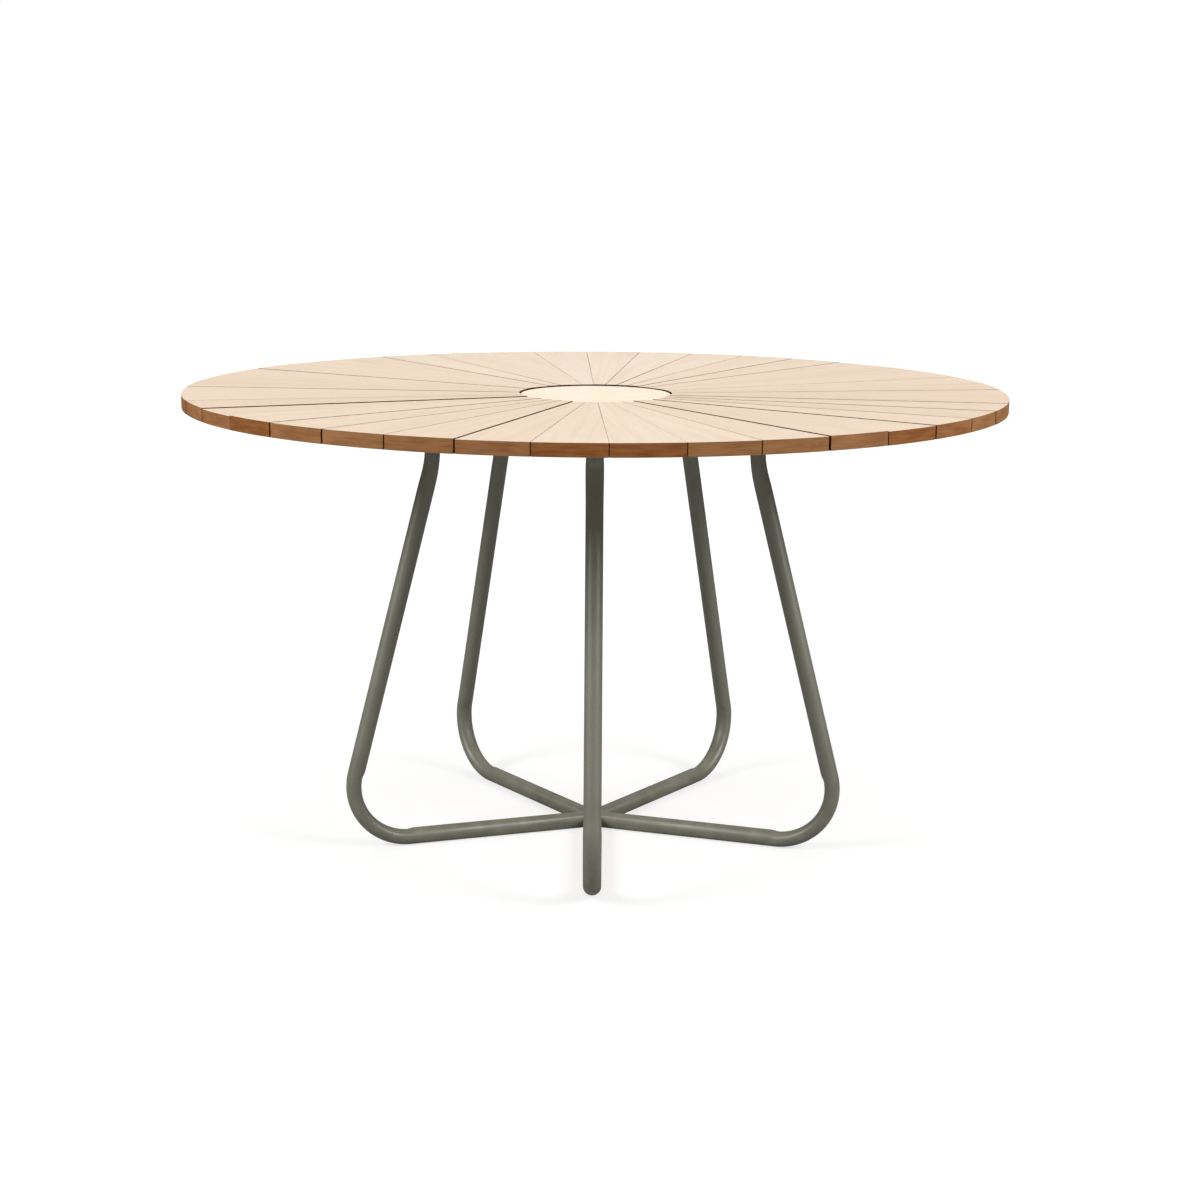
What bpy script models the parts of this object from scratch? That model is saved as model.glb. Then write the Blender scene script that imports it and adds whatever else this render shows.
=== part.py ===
"""Round deck dining table: wedge slats on a steel wheel, carried by five bent tube legs.

Sizes are in metres. The origin is on the floor under the middle of the top and +Z is up.
The front leg points along -Y, and pieces that repeat are numbered or named from above.
"""

import math

import bmesh
import bpy

# Gap left between two pieces that touch
FIT = 0.0003

# Table top, which falls evenly from the rim to the hole
TABLE_HEIGHT = 0.740
TOP_RADIUS = 0.655
HOLE_RADIUS = 0.123
SLAT_COUNT = 40
SLAT_THICKNESS = 0.0215
SLAT_GAP = 0.0018
SLAT_EASE = 0.0018
SLAT_TURN = math.radians(1.7)
TOP_FALL = 0.0075
RIM_SEGMENTS = 3

# Centre disc, which lies a little lower than the slats on a soft gasket
DISC_CLEARANCE = 0.0020
DISC_RECESS = 0.0025
DISC_THICKNESS = 0.012
DISC_EASE = 0.0012
GASKET_WIDTH = 0.010

# Steel wheel under the slats
RING_THICKNESS = 0.005
INNER_RING_LEDGE = 0.018
INNER_RING_SEAT = 0.042
OUTER_RING_RADIUS = 0.500
OUTER_RING_WIDTH = 0.036
ARM_WIDTH = 0.040
ARM_HEIGHT = 0.020
ARM_WALL = 0.002
ARM_CORNER = 0.0025

# Legs
LEG_NAMES = ("front", "right", "back_right", "back_left", "left")
FIRST_LEG_ANGLE = math.radians(-90)
TUBE_RADIUS = 0.0135
TUBE_WALL = 0.002
FOOT_CORNER_RADIUS = 0.432
LOWER_BEND_RADIUS = 0.091
UPPER_BEND_RADIUS = 0.240
STUB_RADIUS = 0.2715
STUB_LENGTH = 0.061

# Bending dents the tube's wall on the inside of each bend and spreads it sideways. A dent starts
# a run-in before its bend and grows over its rise, sharply at the foot and slowly at the neck.
DENT_DEPTH = 0.0026
DENT_SPREAD = 0.0005
DENT_RUN_IN = 0.007
LOWER_DENT_RISE = 0.014
UPPER_DENT_RISE = 0.050

# Plates that join the legs to the arms, each with two bolt holes
PLATE_LENGTH = 0.084
PLATE_WIDTH = 0.038
PLATE_THICKNESS = 0.005
PLATE_CORNER = 0.006
BOLT_SPACING = 0.058
BOLT_RADIUS = 0.004
BOLT_CLEARANCE = 0.0004

# Holes in the rings for the wood screws, two to a slat
SCREW_HOLE_RADIUS = 0.0026

# Facets
TUBE_SIDES = 16
BORE_SIDES = 8
LOWER_BEND_STEPS = 16
UPPER_BEND_STEPS = 4
BORE_LOWER_BEND_STEPS = 9
BORE_UPPER_BEND_STEPS = 2
INNER_RING_SIDES = 56
OUTER_RING_SIDES = 80
DISC_SIDES = 64
BOLT_HOLE_SIDES = 12
SCREW_HOLE_SIDES = 8
CORNER_STEPS = 3

# Heights that follow from the sizes above, from the top down, before the fall is taken off
SLAT_UNDERSIDE = TABLE_HEIGHT - SLAT_THICKNESS
WHEEL_TOP = SLAT_UNDERSIDE - FIT
RING_UNDERSIDE = WHEEL_TOP - RING_THICKNESS
ARM_UNDERSIDE = WHEEL_TOP - ARM_HEIGHT
PLATE_TOP = ARM_UNDERSIDE - FIT
PLATE_UNDERSIDE = PLATE_TOP - PLATE_THICKNESS
DISC_TOP = TABLE_HEIGHT - DISC_RECESS
DISC_UNDERSIDE = DISC_TOP - DISC_THICKNESS

# Radii that follow from the sizes above
DISC_RADIUS = HOLE_RADIUS - DISC_CLEARANCE
GASKET_INSIDE = HOLE_RADIUS - INNER_RING_LEDGE + FIT
INNER_RING_INSIDE = HOLE_RADIUS - INNER_RING_LEDGE
INNER_RING_OUTSIDE = HOLE_RADIUS + INNER_RING_SEAT
INNER_SCREW_RADIUS = HOLE_RADIUS + INNER_RING_SEAT / 2
OUTER_RING_INSIDE = OUTER_RING_RADIUS - OUTER_RING_WIDTH / 2
OUTER_RING_OUTSIDE = OUTER_RING_RADIUS + OUTER_RING_WIDTH / 2

# The top's fall for each metre inward, and the leg's level upper end, a fit under the lowest
# point of the sloping plate over it
FALL_SLOPE = TOP_FALL / (TOP_RADIUS - HOLE_RADIUS)
LEG_TOP = PLATE_UNDERSIDE - FIT - FALL_SLOPE * (TOP_RADIUS - STUB_RADIUS + TUBE_RADIUS)

LEG_COUNT = len(LEG_NAMES)
LEG_PITCH = 2 * math.pi / LEG_COUNT
SLAT_PITCH = 2 * math.pi / SLAT_COUNT
FIRST_SLAT_ANGLE = FIRST_LEG_ANGLE + SLAT_TURN + SLAT_PITCH / 2


def clear_scene():
    """Remove every object, so that the file holds this table alone."""
    for item in list(bpy.data.objects):
        bpy.data.objects.remove(item, do_unlink=True)


def make_material(name, colour, roughness, metallic=0.0):
    """Make a Principled material of one colour."""
    material = bpy.data.materials.new(name)
    material.use_nodes = True
    shader = material.node_tree.nodes["Principled BSDF"]
    shader.inputs["Base Color"].default_value = (*colour, 1.0)
    shader.inputs["Roughness"].default_value = roughness
    shader.inputs["Metallic"].default_value = metallic
    material.diffuse_color = (*colour, 1.0)
    return material


def mesh_from(bm, name, sharp_angle=35):
    """Turn a bmesh into a mesh whose round sides are shaded smooth."""
    bmesh.ops.recalc_face_normals(bm, faces=bm.faces)
    mesh = bpy.data.meshes.new(name)
    bm.to_mesh(mesh)
    bm.free()
    mesh.shade_smooth()
    mesh.set_sharp_from_angle(angle=math.radians(sharp_angle))
    return mesh


def place(name, mesh, material, angle=0.0):
    """Add an object that is turned about the table's axis."""
    item = bpy.data.objects.new(name, mesh)
    item.rotation_euler.z = angle
    bpy.context.scene.collection.objects.link(item)
    if material and not mesh.materials:
        mesh.materials.append(material)
    return item


def hide_cutter(cutter):
    """Leave a cutter out of the model."""
    cutter.hide_render = True
    cutter.display_type = "WIRE"


def cut(item, cutter, operation="DIFFERENCE"):
    """Add an exact Boolean to an object."""
    modifier = item.modifiers.new(cutter.name, "BOOLEAN")
    modifier.operation = operation
    modifier.solver = "EXACT"
    modifier.object = cutter


def circle(radius, sides):
    """Points of a regular outline, counter-clockwise."""
    return [polar(radius, 2 * math.pi * i / sides) for i in range(sides)]


def extrude_outline(bm, outline, low, high):
    """Extrude a plan outline from one height to another; returns the top face."""
    base = bm.faces.new([bm.verts.new((x, y, low)) for x, y in outline])
    raised = bmesh.ops.extrude_face_region(bm, geom=[base], use_keep_orig=True)["geom"]
    bmesh.ops.translate(bm, vec=(0, 0, high - low),
                        verts=[part for part in raised if isinstance(part, bmesh.types.BMVert)])
    return next(part for part in raised if isinstance(part, bmesh.types.BMFace))


def skin_loops(bm, loops, closed=False):
    """Face the strips between neighbouring loops of vertices, each with as many points."""
    neighbours = loops[1:] + loops[:1] if closed else loops[1:]
    for lower, upper in zip(loops, neighbours):
        for i in range(len(lower)):
            j = (i + 1) % len(lower)
            bm.faces.new((lower[i], lower[j], upper[j], upper[i]))


def turn_profile(bm, profile, sides, centre=(0.0, 0.0), closed=False):
    """Turn a profile of (radius, height) points about a vertical axis.

    An open profile is capped flat at both ends, and a closed one makes a ring.
    """
    loops = [[bm.verts.new((centre[0] + x, centre[1] + y, height))
              for x, y in circle(radius, sides)] for radius, height in profile]
    skin_loops(bm, loops, closed)
    if not closed:
        bm.faces.new(loops[0])
        bm.faces.new(loops[-1])


def settle(bm):
    """Lower each point of a mesh by the top's fall at its distance from the table's axis."""
    for vert in bm.verts:
        inward = TOP_RADIUS - math.hypot(vert.co.x, vert.co.y)
        vert.co.z -= min(TOP_FALL, FALL_SLOPE * inward)


def leg_angles():
    """The directions of the legs, one for each name."""
    return [FIRST_LEG_ANGLE + LEG_PITCH * i for i in range(LEG_COUNT)]


def slat_angles():
    """The directions of the slats' centre lines."""
    return [FIRST_SLAT_ANGLE + SLAT_PITCH * i for i in range(SLAT_COUNT)]


def polar(radius, angle):
    """A plan point at a radius and a direction."""
    return radius * math.cos(angle), radius * math.sin(angle)


def screw_centres():
    """Plan positions of the slat screws, on each slat's centre line over both rings."""
    return [polar(radius, angle) for radius in (INNER_SCREW_RADIUS, OUTER_RING_RADIUS)
            for angle in slat_angles()]


def bolt_centres():
    """Plan positions of the plate bolts, one on each side of every leg."""
    return [polar(STUB_RADIUS + side * BOLT_SPACING / 2, angle)
            for angle in leg_angles() for side in (-1, 1)]


def make_holes(name, centres, radius, sides, low, high):
    """A cutter of upright holes, each facet as far from its centre as a round hole's wall."""
    corner = radius / math.cos(math.pi / sides)
    bm = bmesh.new()
    for centre in centres:
        turn_profile(bm, [(corner, low), (corner, high)], sides, centre)
    cutter = place(name, mesh_from(bm, name), None)
    hide_cutter(cutter)
    return cutter


def side_crossing(radius):
    """Where a slat's straight side crosses a circle round the table's axis.

    The side runs parallel to a radius, half a gap inside it.
    """
    return SLAT_PITCH / 2 - math.asin(SLAT_GAP / 2 / radius)


def arc_points(radius, start, end, steps):
    """Points along an arc round the table's axis."""
    return [polar(radius, start + (end - start) * i / steps) for i in range(steps + 1)]


def make_slats(material):
    """One wedge for each slat: round at the rim and the hole, with eased upper edges."""
    rim = side_crossing(TOP_RADIUS)
    inner = side_crossing(HOLE_RADIUS)
    outline = arc_points(TOP_RADIUS, -rim, rim, RIM_SEGMENTS)
    outline += arc_points(HOLE_RADIUS, inner, -inner, 1)
    bm = bmesh.new()
    top = extrude_outline(bm, outline, SLAT_UNDERSIDE, TABLE_HEIGHT)
    corners = [top.verts[i] for i in range(len(outline))
               if math.hypot(top.verts[i].co.x, top.verts[i].co.y) > HOLE_RADIUS + FIT
               and abs(abs(math.atan2(top.verts[i].co.y, top.verts[i].co.x)) - rim) < 1e-4]
    posts = [edge for vert in corners for edge in vert.link_edges if edge not in top.edges]
    bmesh.ops.bevel(bm, geom=list(top.edges) + posts, offset=SLAT_EASE, segments=1,
                    affect="EDGES", profile=0.5)
    settle(bm)
    mesh = mesh_from(bm, "slat")
    for i, angle in enumerate(slat_angles()):
        place(f"slat_{i + 1:02d}", mesh, material, angle)


def make_centre_disc(material):
    """The round plate that fills the hole in the top."""
    bm = bmesh.new()
    turn_profile(bm, [(DISC_RADIUS, DISC_UNDERSIDE),
                      (DISC_RADIUS, DISC_TOP - DISC_EASE),
                      (DISC_RADIUS - DISC_EASE, DISC_TOP)], DISC_SIDES)
    settle(bm)
    place("centre_disc", mesh_from(bm, "centre_disc", sharp_angle=50), material)


def make_ring(name, inside, outside, low, high, sides, material):
    """A ring round the table's axis, coned to the top's fall."""
    bm = bmesh.new()
    turn_profile(bm, [(inside, low), (outside, low), (outside, high), (inside, high)],
                 sides, closed=True)
    settle(bm)
    return place(name, mesh_from(bm, name), material)


def make_rings(rubber, paint):
    """The drilled steel rings under the slats, and the gasket that carries the centre disc."""
    screw_holes = make_holes("screw_holes", screw_centres(), SCREW_HOLE_RADIUS, SCREW_HOLE_SIDES,
                             RING_UNDERSIDE - 2 * TOP_FALL, SLAT_UNDERSIDE + RING_THICKNESS)
    inner = make_ring("inner_ring", INNER_RING_INSIDE, INNER_RING_OUTSIDE, RING_UNDERSIDE,
                      WHEEL_TOP, INNER_RING_SIDES, paint)
    outer = make_ring("outer_ring", OUTER_RING_INSIDE, OUTER_RING_OUTSIDE, RING_UNDERSIDE,
                      WHEEL_TOP, OUTER_RING_SIDES, paint)
    cut(inner, screw_holes)
    cut(outer, screw_holes)
    make_ring("disc_gasket", GASKET_INSIDE, GASKET_INSIDE + GASKET_WIDTH, WHEEL_TOP + FIT,
              DISC_UNDERSIDE - FIT, INNER_RING_SIDES, rubber)


def arm_span():
    """Where an arm starts and ends, each a fit away from the ring that it is welded to."""
    start = INNER_RING_OUTSIDE + FIT
    end = math.sqrt((OUTER_RING_INSIDE * math.cos(math.pi / OUTER_RING_SIDES) - FIT) ** 2
                    - (ARM_WIDTH / 2) ** 2)
    return start, end


def make_arms(material, bolt_holes):
    """Box-section arms from the inner ring to the outer ring, one over each leg."""
    start, end = arm_span()
    bm = bmesh.new()
    loops = []
    for x, inset in ((start, 0.0), (end, 0.0), (end, ARM_WALL), (start, ARM_WALL)):
        side = ARM_WIDTH / 2 - inset
        low = ARM_UNDERSIDE + inset
        high = WHEEL_TOP - inset
        loops.append([bm.verts.new((x, y, z)) for y, z in
                      ((-side, low), (side, low), (side, high), (-side, high))])
    skin_loops(bm, loops, closed=True)
    outer_verts = set(loops[0] + loops[1])
    corners = [edge for edge in bm.edges if set(edge.verts) <= outer_verts
               and abs(edge.verts[0].co.x - edge.verts[1].co.x) > FIT]
    bmesh.ops.bevel(bm, geom=corners, offset=ARM_CORNER, segments=2, affect="EDGES", profile=0.5)
    settle(bm)
    mesh = mesh_from(bm, "arm")
    for name, angle in zip(LEG_NAMES, leg_angles()):
        cut(place(f"arm_{name}", mesh, material, angle), bolt_holes)


def rounded_rectangle(centre, length, width, corner):
    """Plan outline of a plate with round corners, its length along the radius."""
    points = []
    for x_side, y_side, start in ((1, -1, -90), (1, 1, 0), (-1, 1, 90), (-1, -1, 180)):
        x = centre + x_side * (length / 2 - corner)
        y = y_side * (width / 2 - corner)
        for i in range(CORNER_STEPS + 1):
            angle = math.radians(start + 90 * i / CORNER_STEPS)
            points.append((x + corner * math.cos(angle), y + corner * math.sin(angle)))
    return points


def make_leg_plates(material, bolt_holes):
    """The plates that the legs are welded to, bolted up against the arms."""
    outline = rounded_rectangle(STUB_RADIUS, PLATE_LENGTH, PLATE_WIDTH, PLATE_CORNER)
    bm = bmesh.new()
    extrude_outline(bm, outline, PLATE_UNDERSIDE, PLATE_TOP)
    settle(bm)
    mesh = mesh_from(bm, "plate")
    for name, angle in zip(LEG_NAMES, leg_angles()):
        cut(place(f"plate_{name}", mesh, material, angle), bolt_holes)


def bend_stations(corner, start, end, radius, steps, rise):
    """Stations round one bend: (radius, height, direction, dent).

    The dent is on the inside of the bend, to the left of the tube's run where it is positive.
    It grows over its rise and ends as far past the bend as it starts before it.
    """
    side = math.copysign(1.0, end - start)
    length = radius * abs(end - start)
    reach = radius * math.tan(abs(end - start) / 2)
    centre = (corner[0] - reach * math.cos(start) - side * radius * math.sin(start),
              corner[1] - reach * math.sin(start) + side * radius * math.cos(start))
    stations = []
    for i in range(-1, steps + 2):
        turned = min(max(i, 0), steps)
        straight = DENT_RUN_IN * (i - turned)
        run = length * turned / steps + straight
        direction = start + (end - start) * turned / steps
        dent = min(1.0, (run + DENT_RUN_IN) / rise,
                   (length + DENT_RUN_IN - run) / (2 * DENT_RUN_IN))
        stations.append((centre[0] + side * radius * math.sin(direction)
                         + straight * math.cos(direction),
                         centre[1] - side * radius * math.cos(direction)
                         + straight * math.sin(direction),
                         direction, side * dent))
    return stations


def leg_stations(lower_steps, upper_steps, overrun):
    """The leg's centre line: along the floor, round the foot, up the lean and into the stub."""
    floor_height = TUBE_RADIUS * math.cos(math.pi / TUBE_SIDES)
    foot = (FOOT_CORNER_RADIUS, floor_height)
    neck = (STUB_RADIUS, LEG_TOP - STUB_LENGTH)
    lean = math.atan2(neck[1] - foot[1], neck[0] - foot[0])
    upright = math.pi / 2
    stations = [(-2 * TUBE_RADIUS - overrun, floor_height, 0.0, 0.0)]
    stations += bend_stations(foot, 0.0, lean, LOWER_BEND_RADIUS, lower_steps, LOWER_DENT_RISE)
    stations += bend_stations(neck, lean, upright, UPPER_BEND_RADIUS, upper_steps,
                              UPPER_DENT_RISE)
    stations.append((STUB_RADIUS, LEG_TOP + overrun, upright, 0.0))
    return stations


def section(station, radius, sides):
    """Points of the tube's section at a station, dented on the inside of a bend."""
    r, z, direction, dent = station
    points = []
    for i in range(sides):
        angle = 2 * math.pi * (i + 0.5) / sides
        leftward = radius * math.cos(angle)
        across = (radius + DENT_SPREAD * abs(dent)) * math.sin(angle)
        if leftward * dent > 0:
            leftward -= DENT_DEPTH * dent * math.cos(angle) ** 2
        points.append((r - leftward * math.sin(direction), across,
                       z + leftward * math.cos(direction)))
    return points


def make_tube(name, stations, radius, sides, material):
    """Sweep a closed tube through its stations."""
    bm = bmesh.new()
    loops = [[bm.verts.new(point) for point in section(station, radius, sides)]
             for station in stations]
    skin_loops(bm, loops)
    bm.faces.new(loops[0])
    bm.faces.new(loops[-1])
    return place(name, mesh_from(bm, name, sharp_angle=60), material)


def make_mitre(material):
    """The wedge that a leg keeps at the hub, half a fit inside its share of the circle."""
    half = LEG_PITCH / 2
    tip = FIT / 2 / math.sin(half)
    reach = TOP_RADIUS
    bm = bmesh.new()
    outline = [(tip, 0), (reach, -(reach - tip) * math.tan(half)),
               (reach, (reach - tip) * math.tan(half))]
    extrude_outline(bm, outline, -TUBE_RADIUS, TABLE_HEIGHT)
    return place("mitre", mesh_from(bm, "mitre"), material)


def make_legs(material):
    """Bent tube legs, mitred to one another where they meet on the floor."""
    outside = leg_stations(LOWER_BEND_STEPS, UPPER_BEND_STEPS, 0.0)
    inside = leg_stations(BORE_LOWER_BEND_STEPS, BORE_UPPER_BEND_STEPS, TUBE_WALL)
    leg = make_tube("leg", outside, TUBE_RADIUS, TUBE_SIDES, material)
    bore = make_tube("bore", inside, TUBE_RADIUS - TUBE_WALL, BORE_SIDES, material)
    mitre = make_mitre(material)
    cut(leg, bore)
    cut(leg, mitre, "INTERSECT")
    bpy.context.view_layer.update()
    finished = bpy.data.meshes.new_from_object(leg.evaluated_get(
        bpy.context.evaluated_depsgraph_get()))
    for helper in (leg, bore, mitre):
        bpy.data.objects.remove(helper, do_unlink=True)
    finished.shade_smooth()
    finished.set_sharp_from_angle(angle=math.radians(60))
    for name, angle in zip(LEG_NAMES, leg_angles()):
        place(f"leg_{name}", finished, material, angle)


def build_table():
    """Build every piece, from the top down."""
    clear_scene()
    wood = make_material("slat_wood", (0.62, 0.42, 0.28), 0.62)
    stone = make_material("cream_stone", (0.95, 0.89, 0.74), 0.40)
    rubber = make_material("gasket_rubber", (0.03, 0.03, 0.03), 0.80)
    wheel_paint = make_material("wheel_paint", (0.17, 0.17, 0.14), 0.45, 0.2)
    leg_paint = make_material("leg_paint", (0.19, 0.19, 0.155), 0.40, 0.2)

    make_slats(wood)
    make_centre_disc(stone)
    make_rings(rubber, wheel_paint)
    bolt_holes = make_holes("bolt_holes", bolt_centres(), BOLT_RADIUS + BOLT_CLEARANCE,
                            BOLT_HOLE_SIDES, PLATE_UNDERSIDE - 2 * TOP_FALL,
                            ARM_UNDERSIDE + 2 * ARM_WALL)
    make_arms(wheel_paint, bolt_holes)
    make_leg_plates(leg_paint, bolt_holes)
    make_legs(leg_paint)


build_table()
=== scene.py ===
"""Looks of the round deck dining table: finishes, fine meshes, fasteners, light and camera."""

import math
import random

import bmesh
import bpy
from mathutils import Matrix, Vector, noise


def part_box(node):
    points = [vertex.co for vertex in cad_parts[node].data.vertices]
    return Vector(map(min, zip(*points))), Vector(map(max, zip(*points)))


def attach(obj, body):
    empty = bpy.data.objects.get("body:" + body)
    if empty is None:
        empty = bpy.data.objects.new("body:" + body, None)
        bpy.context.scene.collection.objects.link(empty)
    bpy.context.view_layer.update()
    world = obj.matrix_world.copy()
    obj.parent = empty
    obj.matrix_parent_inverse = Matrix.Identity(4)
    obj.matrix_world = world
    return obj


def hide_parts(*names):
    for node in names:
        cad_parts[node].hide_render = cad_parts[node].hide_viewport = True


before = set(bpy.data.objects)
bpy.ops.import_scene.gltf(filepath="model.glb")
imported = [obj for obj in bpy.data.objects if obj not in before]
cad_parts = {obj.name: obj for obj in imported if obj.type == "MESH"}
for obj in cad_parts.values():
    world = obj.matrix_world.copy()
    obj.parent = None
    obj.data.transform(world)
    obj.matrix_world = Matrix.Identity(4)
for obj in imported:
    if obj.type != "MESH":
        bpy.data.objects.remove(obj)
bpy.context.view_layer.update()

BODY = "root"
SEED = 40

# Table top; every length in this file is in metres
SLAT_COUNT = 40
SLAT_GAP = 0.0004
# Joints of another width, at the hole and at the rim; joint k lies clockwise of slat index k
OPEN_JOINTS = {
    0: (0.0005, 0.0002), 1: (0.0001, 0.0002), 3: (0.0014, 0.0026), 5: (0.0013, 0.0024),
    6: (0.0008, 0.0010), 7: (0.0010, 0.0012), 8: (0.0018, 0.0014), 10: (0.0008, 0.0018),
    12: (0.0008, 0.0008), 15: (0.0008, 0.0013), 16: (0.0010, 0.0006), 17: (0.0012, 0.0004),
    18: (0.0018, 0.0007), 19: (0.0008, 0.0008), 20: (0.0003, 0.0004), 23: (0.0018, 0.0008),
    24: (0.0009, 0.0008), 27: (0.0008, 0.0020), 30: (0.0022, 0.0010), 31: (0.0014, 0.0006),
    32: (0.0009, 0.0012), 33: (0.0014, 0.0018), 35: (0.0012, 0.0018), 36: (0.0006, 0.0012),
    37: (0.0012, 0.0008), 38: (0.0020, 0.0013),
}
# How far each slat's top is lowered, in DROP_UNIT
SLAT_DROPS = (20, 20, 18, 9, 19, 12, 9, 5, 1, 7, 5, 9, 8, 10, 12, 9, 4, 3, 2, 2,
              4, 4, 2, 2, 6, 4, 1, 5, 5, 1, 4, 1, 2, 15, 1, 5, 7, 8, 19, 20)
DROP_UNIT = 0.0001
TOP_FALL = 0.0075
SLAT_EASE = 0.0002
SLAT_EASE_STEPS = 3
SLAT_LOWER_EASE = 0.0008
SLAT_LOWER_EASE_STEPS = 2
RIM_CORNER_EASE = 0.0015
RIM_CORNER_STEPS = 3
END_UNEVENNESS = 0.0009
SIDE_WANDER = 0.00012
WANDER_WAVES = 4
WANDER_SIDE_SHIFT = 7.3
WANDER_LEAN = 0.5
RIM_STEPS = 12
SIDE_STEPS = 12
HOLE_STEPS = 4
DISC_EASE = 0.0012

# Slats' shares of the wood's top tint: painted sheen, lighter on the tops of the slats that point
# to the front and the back, and lighter at the back than at the front, with a share by chance; and
# the slats whose rim end is darker and redder
PAINTED_SHEEN_FRONT_AND_BACK = 0.6
PAINTED_SHEEN_BACK_OVER_FRONT = 0.2
CHANCE_TINT = 0.3
RUDDY_SLATS = (0, 4, 9, 15, 22, 28, 34, 39)
RUDDY_TINT = 0.15
PLAIN_TINT = 0.5

# Legs: bent tube, dented on the inside of its bends
LEG_NAMES = ("front", "right", "back_right", "back_left", "left")
TUBE_RADIUS = 0.0135
FOOT_CORNER_RADIUS = 0.432
LOWER_BEND_RADIUS = 0.091
UPPER_BEND_RADIUS = 0.240
STUB_LENGTH = 0.061
DENT_DEPTH = 0.0026
DENT_SPREAD = 0.0005
DENT_RUN_IN = 0.007
DENT_RUN_IN_STEPS = 5
LOWER_DENT_RISE = 0.014
UPPER_DENT_RISE = 0.050
MITRE_GAP = 0.0003
TUBE_SIDES = 48
LOWER_BEND_STEPS = 48
UPPER_BEND_STEPS = 20

# Wheel and plates under the top
ARM_WIDTH = 0.040
ARM_WALL = 0.002
ARM_CORNER = 0.0025
PLATE_CORNER = 0.006
STEEL_EASE = 0.0005
RING_STEPS = 240
BOLT_SPACING = 0.058

# Welds; the hub beads' start and turn are degrees round the tube from its top
HUB_BEAD = 0.0017
HUB_BEAD_START = 4
HUB_BEAD_TURN = 140
HUB_BEAD_STEPS = 30
PLATE_BEAD = 0.0022
PLATE_BEAD_STEPS = 90
ARM_BEAD = 0.0018
ARM_BEAD_STEPS = 40
BEAD_SIDES = 10
BEAD_PITCH = 0.0024
BEAD_RIPPLE = 0.10
BEAD_END = 0.45

# Fasteners; the cross recess has a length and a width at its mouth and at its bottom
SCREW_HEAD_RADIUS = 0.0042
SCREW_HEAD_HEIGHT = 0.0022
SCREW_HEAD_SIDES = 28
SCREW_HEAD_STEPS = 6
SCREW_SEAT = 0.97
SCREW_EDGE_ANGLE = 12
SCREW_ROUNDNESS = (0.7, 0.9)
SCREW_MIDDLE = 0.12
RECESS_MOUTH = (0.0050, 0.0011)
RECESS_BOTTOM = (0.0028, 0.0006)
RECESS_START = 1.2
RECESS_DEPTH = 0.65
BOLT_FLATS = 0.013
BOLT_HEAD_HEIGHT = 0.0053
BOLT_SHOULDER = 0.86
BOLT_CROWN = 0.97
BOLT_SIDES = 48
BOLT_TURN = 0.4
WASHER_RADIUS = 0.008
WASHER_THICKNESS = 0.0016
WASHER_EASE = 0.0003
PLUG_THICKNESS = 0.004

# Rounding and shading of meshes; angles are in degrees
EASE_STEPS = 4
RING_EASE_STEPS = 2
CORNER_STEPS = 5
ROUND_PROFILE = 0.5
LEVEL_TOLERANCE = 1e-6
SHARP_ANGLE = 40
SHARP_ANGLE_LEG = 50
SHARP_ANGLE_WELD = 80
SHARP_ANGLE_BOLT = 25
SHARP_ANGLE_SCREW = 35

# Stage
FLOOR_SIZE = 24.0
FLOOR_TONES = ((0.38, 0.38, 0.378, 1), (0.40, 0.40, 0.398, 1))
FLOOR_CLOUDS = 3
FLOOR_GLOW = 0.70
FLOOR_GLOW_REACH = 0.6
FAR_FLOOR_GLOW = 0.92
FAR_FLOOR_GLOW_REACH = 5.0
WHITE = (1, 1, 1, 1)

# Light: the world's by how far up it comes from, and lamps as name, place, aim, size and power
HORIZON_LIGHT = 0.04
OVERHEAD_LIGHT = 0.60
OVERHEAD_RISE = 0.8
OVERHEAD_POWER = 20.0
SIDE_POWER = 69.0
LAMPS = (("overhead", (0.0, 1.1, 2.9), (0, 0, 0.7), 2.0, OVERHEAD_POWER),
         ("left", (-2.85, -1.75, 2.3), (0, 0, 0.3), 1.2, SIDE_POWER),
         ("right", (2.85, -1.75, 2.3), (0, 0, 0.3), 1.2, SIDE_POWER))

# Camera, fitted to the photograph for a square picture; the sensor and the lens are in mm
CAMERA_PLACE = (0.0071, -3.2528, 1.0867)
CAMERA_HEADING = math.radians(-0.038)
CAMERA_PITCH = math.radians(12.089)
CAMERA_ROLL = math.radians(0.400)
CAMERA_LENS = 60.58
CAMERA_SENSOR = 36.0
CAMERA_REACH = 100.0

SLAT_PITCH = 2 * math.pi / SLAT_COUNT
LEG_PITCH = 2 * math.pi / len(LEG_NAMES)
LEG_ANGLES = {name: math.radians(-90) + LEG_PITCH * i for i, name in enumerate(LEG_NAMES)}


# Plane geometry

def polar(radius, angle):
    """A plan point at a radius and a direction."""
    return radius * math.cos(angle), radius * math.sin(angle)


def turned(x, y, angle):
    """A plan point turned about the axis."""
    return (x * math.cos(angle) - y * math.sin(angle),
            x * math.sin(angle) + y * math.cos(angle))


def round_angles(steps):
    """The angles of even steps round a circle."""
    return [2 * math.pi * i / steps for i in range(steps)]


def smooth_step(value):
    """Rise from 0 to 1 with level ends."""
    value = min(1.0, max(0.0, value))
    return value * value * (3 - 2 * value)


# Measures of the CAD nodes

def points_of(node):
    """The points of a CAD node."""
    return [vert.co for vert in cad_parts[node].data.vertices]


def reach(node):
    """Least and greatest distance of a CAD node from the table's axis."""
    distances = [math.hypot(point.x, point.y) for point in points_of(node)]
    return min(distances), max(distances)


def spans(node, angle):
    """Least and greatest distance of a CAD node along a direction, and across it."""
    points = points_of(node)
    along = [point.x * math.cos(angle) + point.y * math.sin(angle) for point in points]
    across = [point.y * math.cos(angle) - point.x * math.sin(angle) for point in points]
    return (min(along), max(along)), (min(across), max(across))


def heights(node):
    """Lowest and highest point of a CAD node."""
    low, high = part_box(node)
    return low.z, high.z


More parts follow.
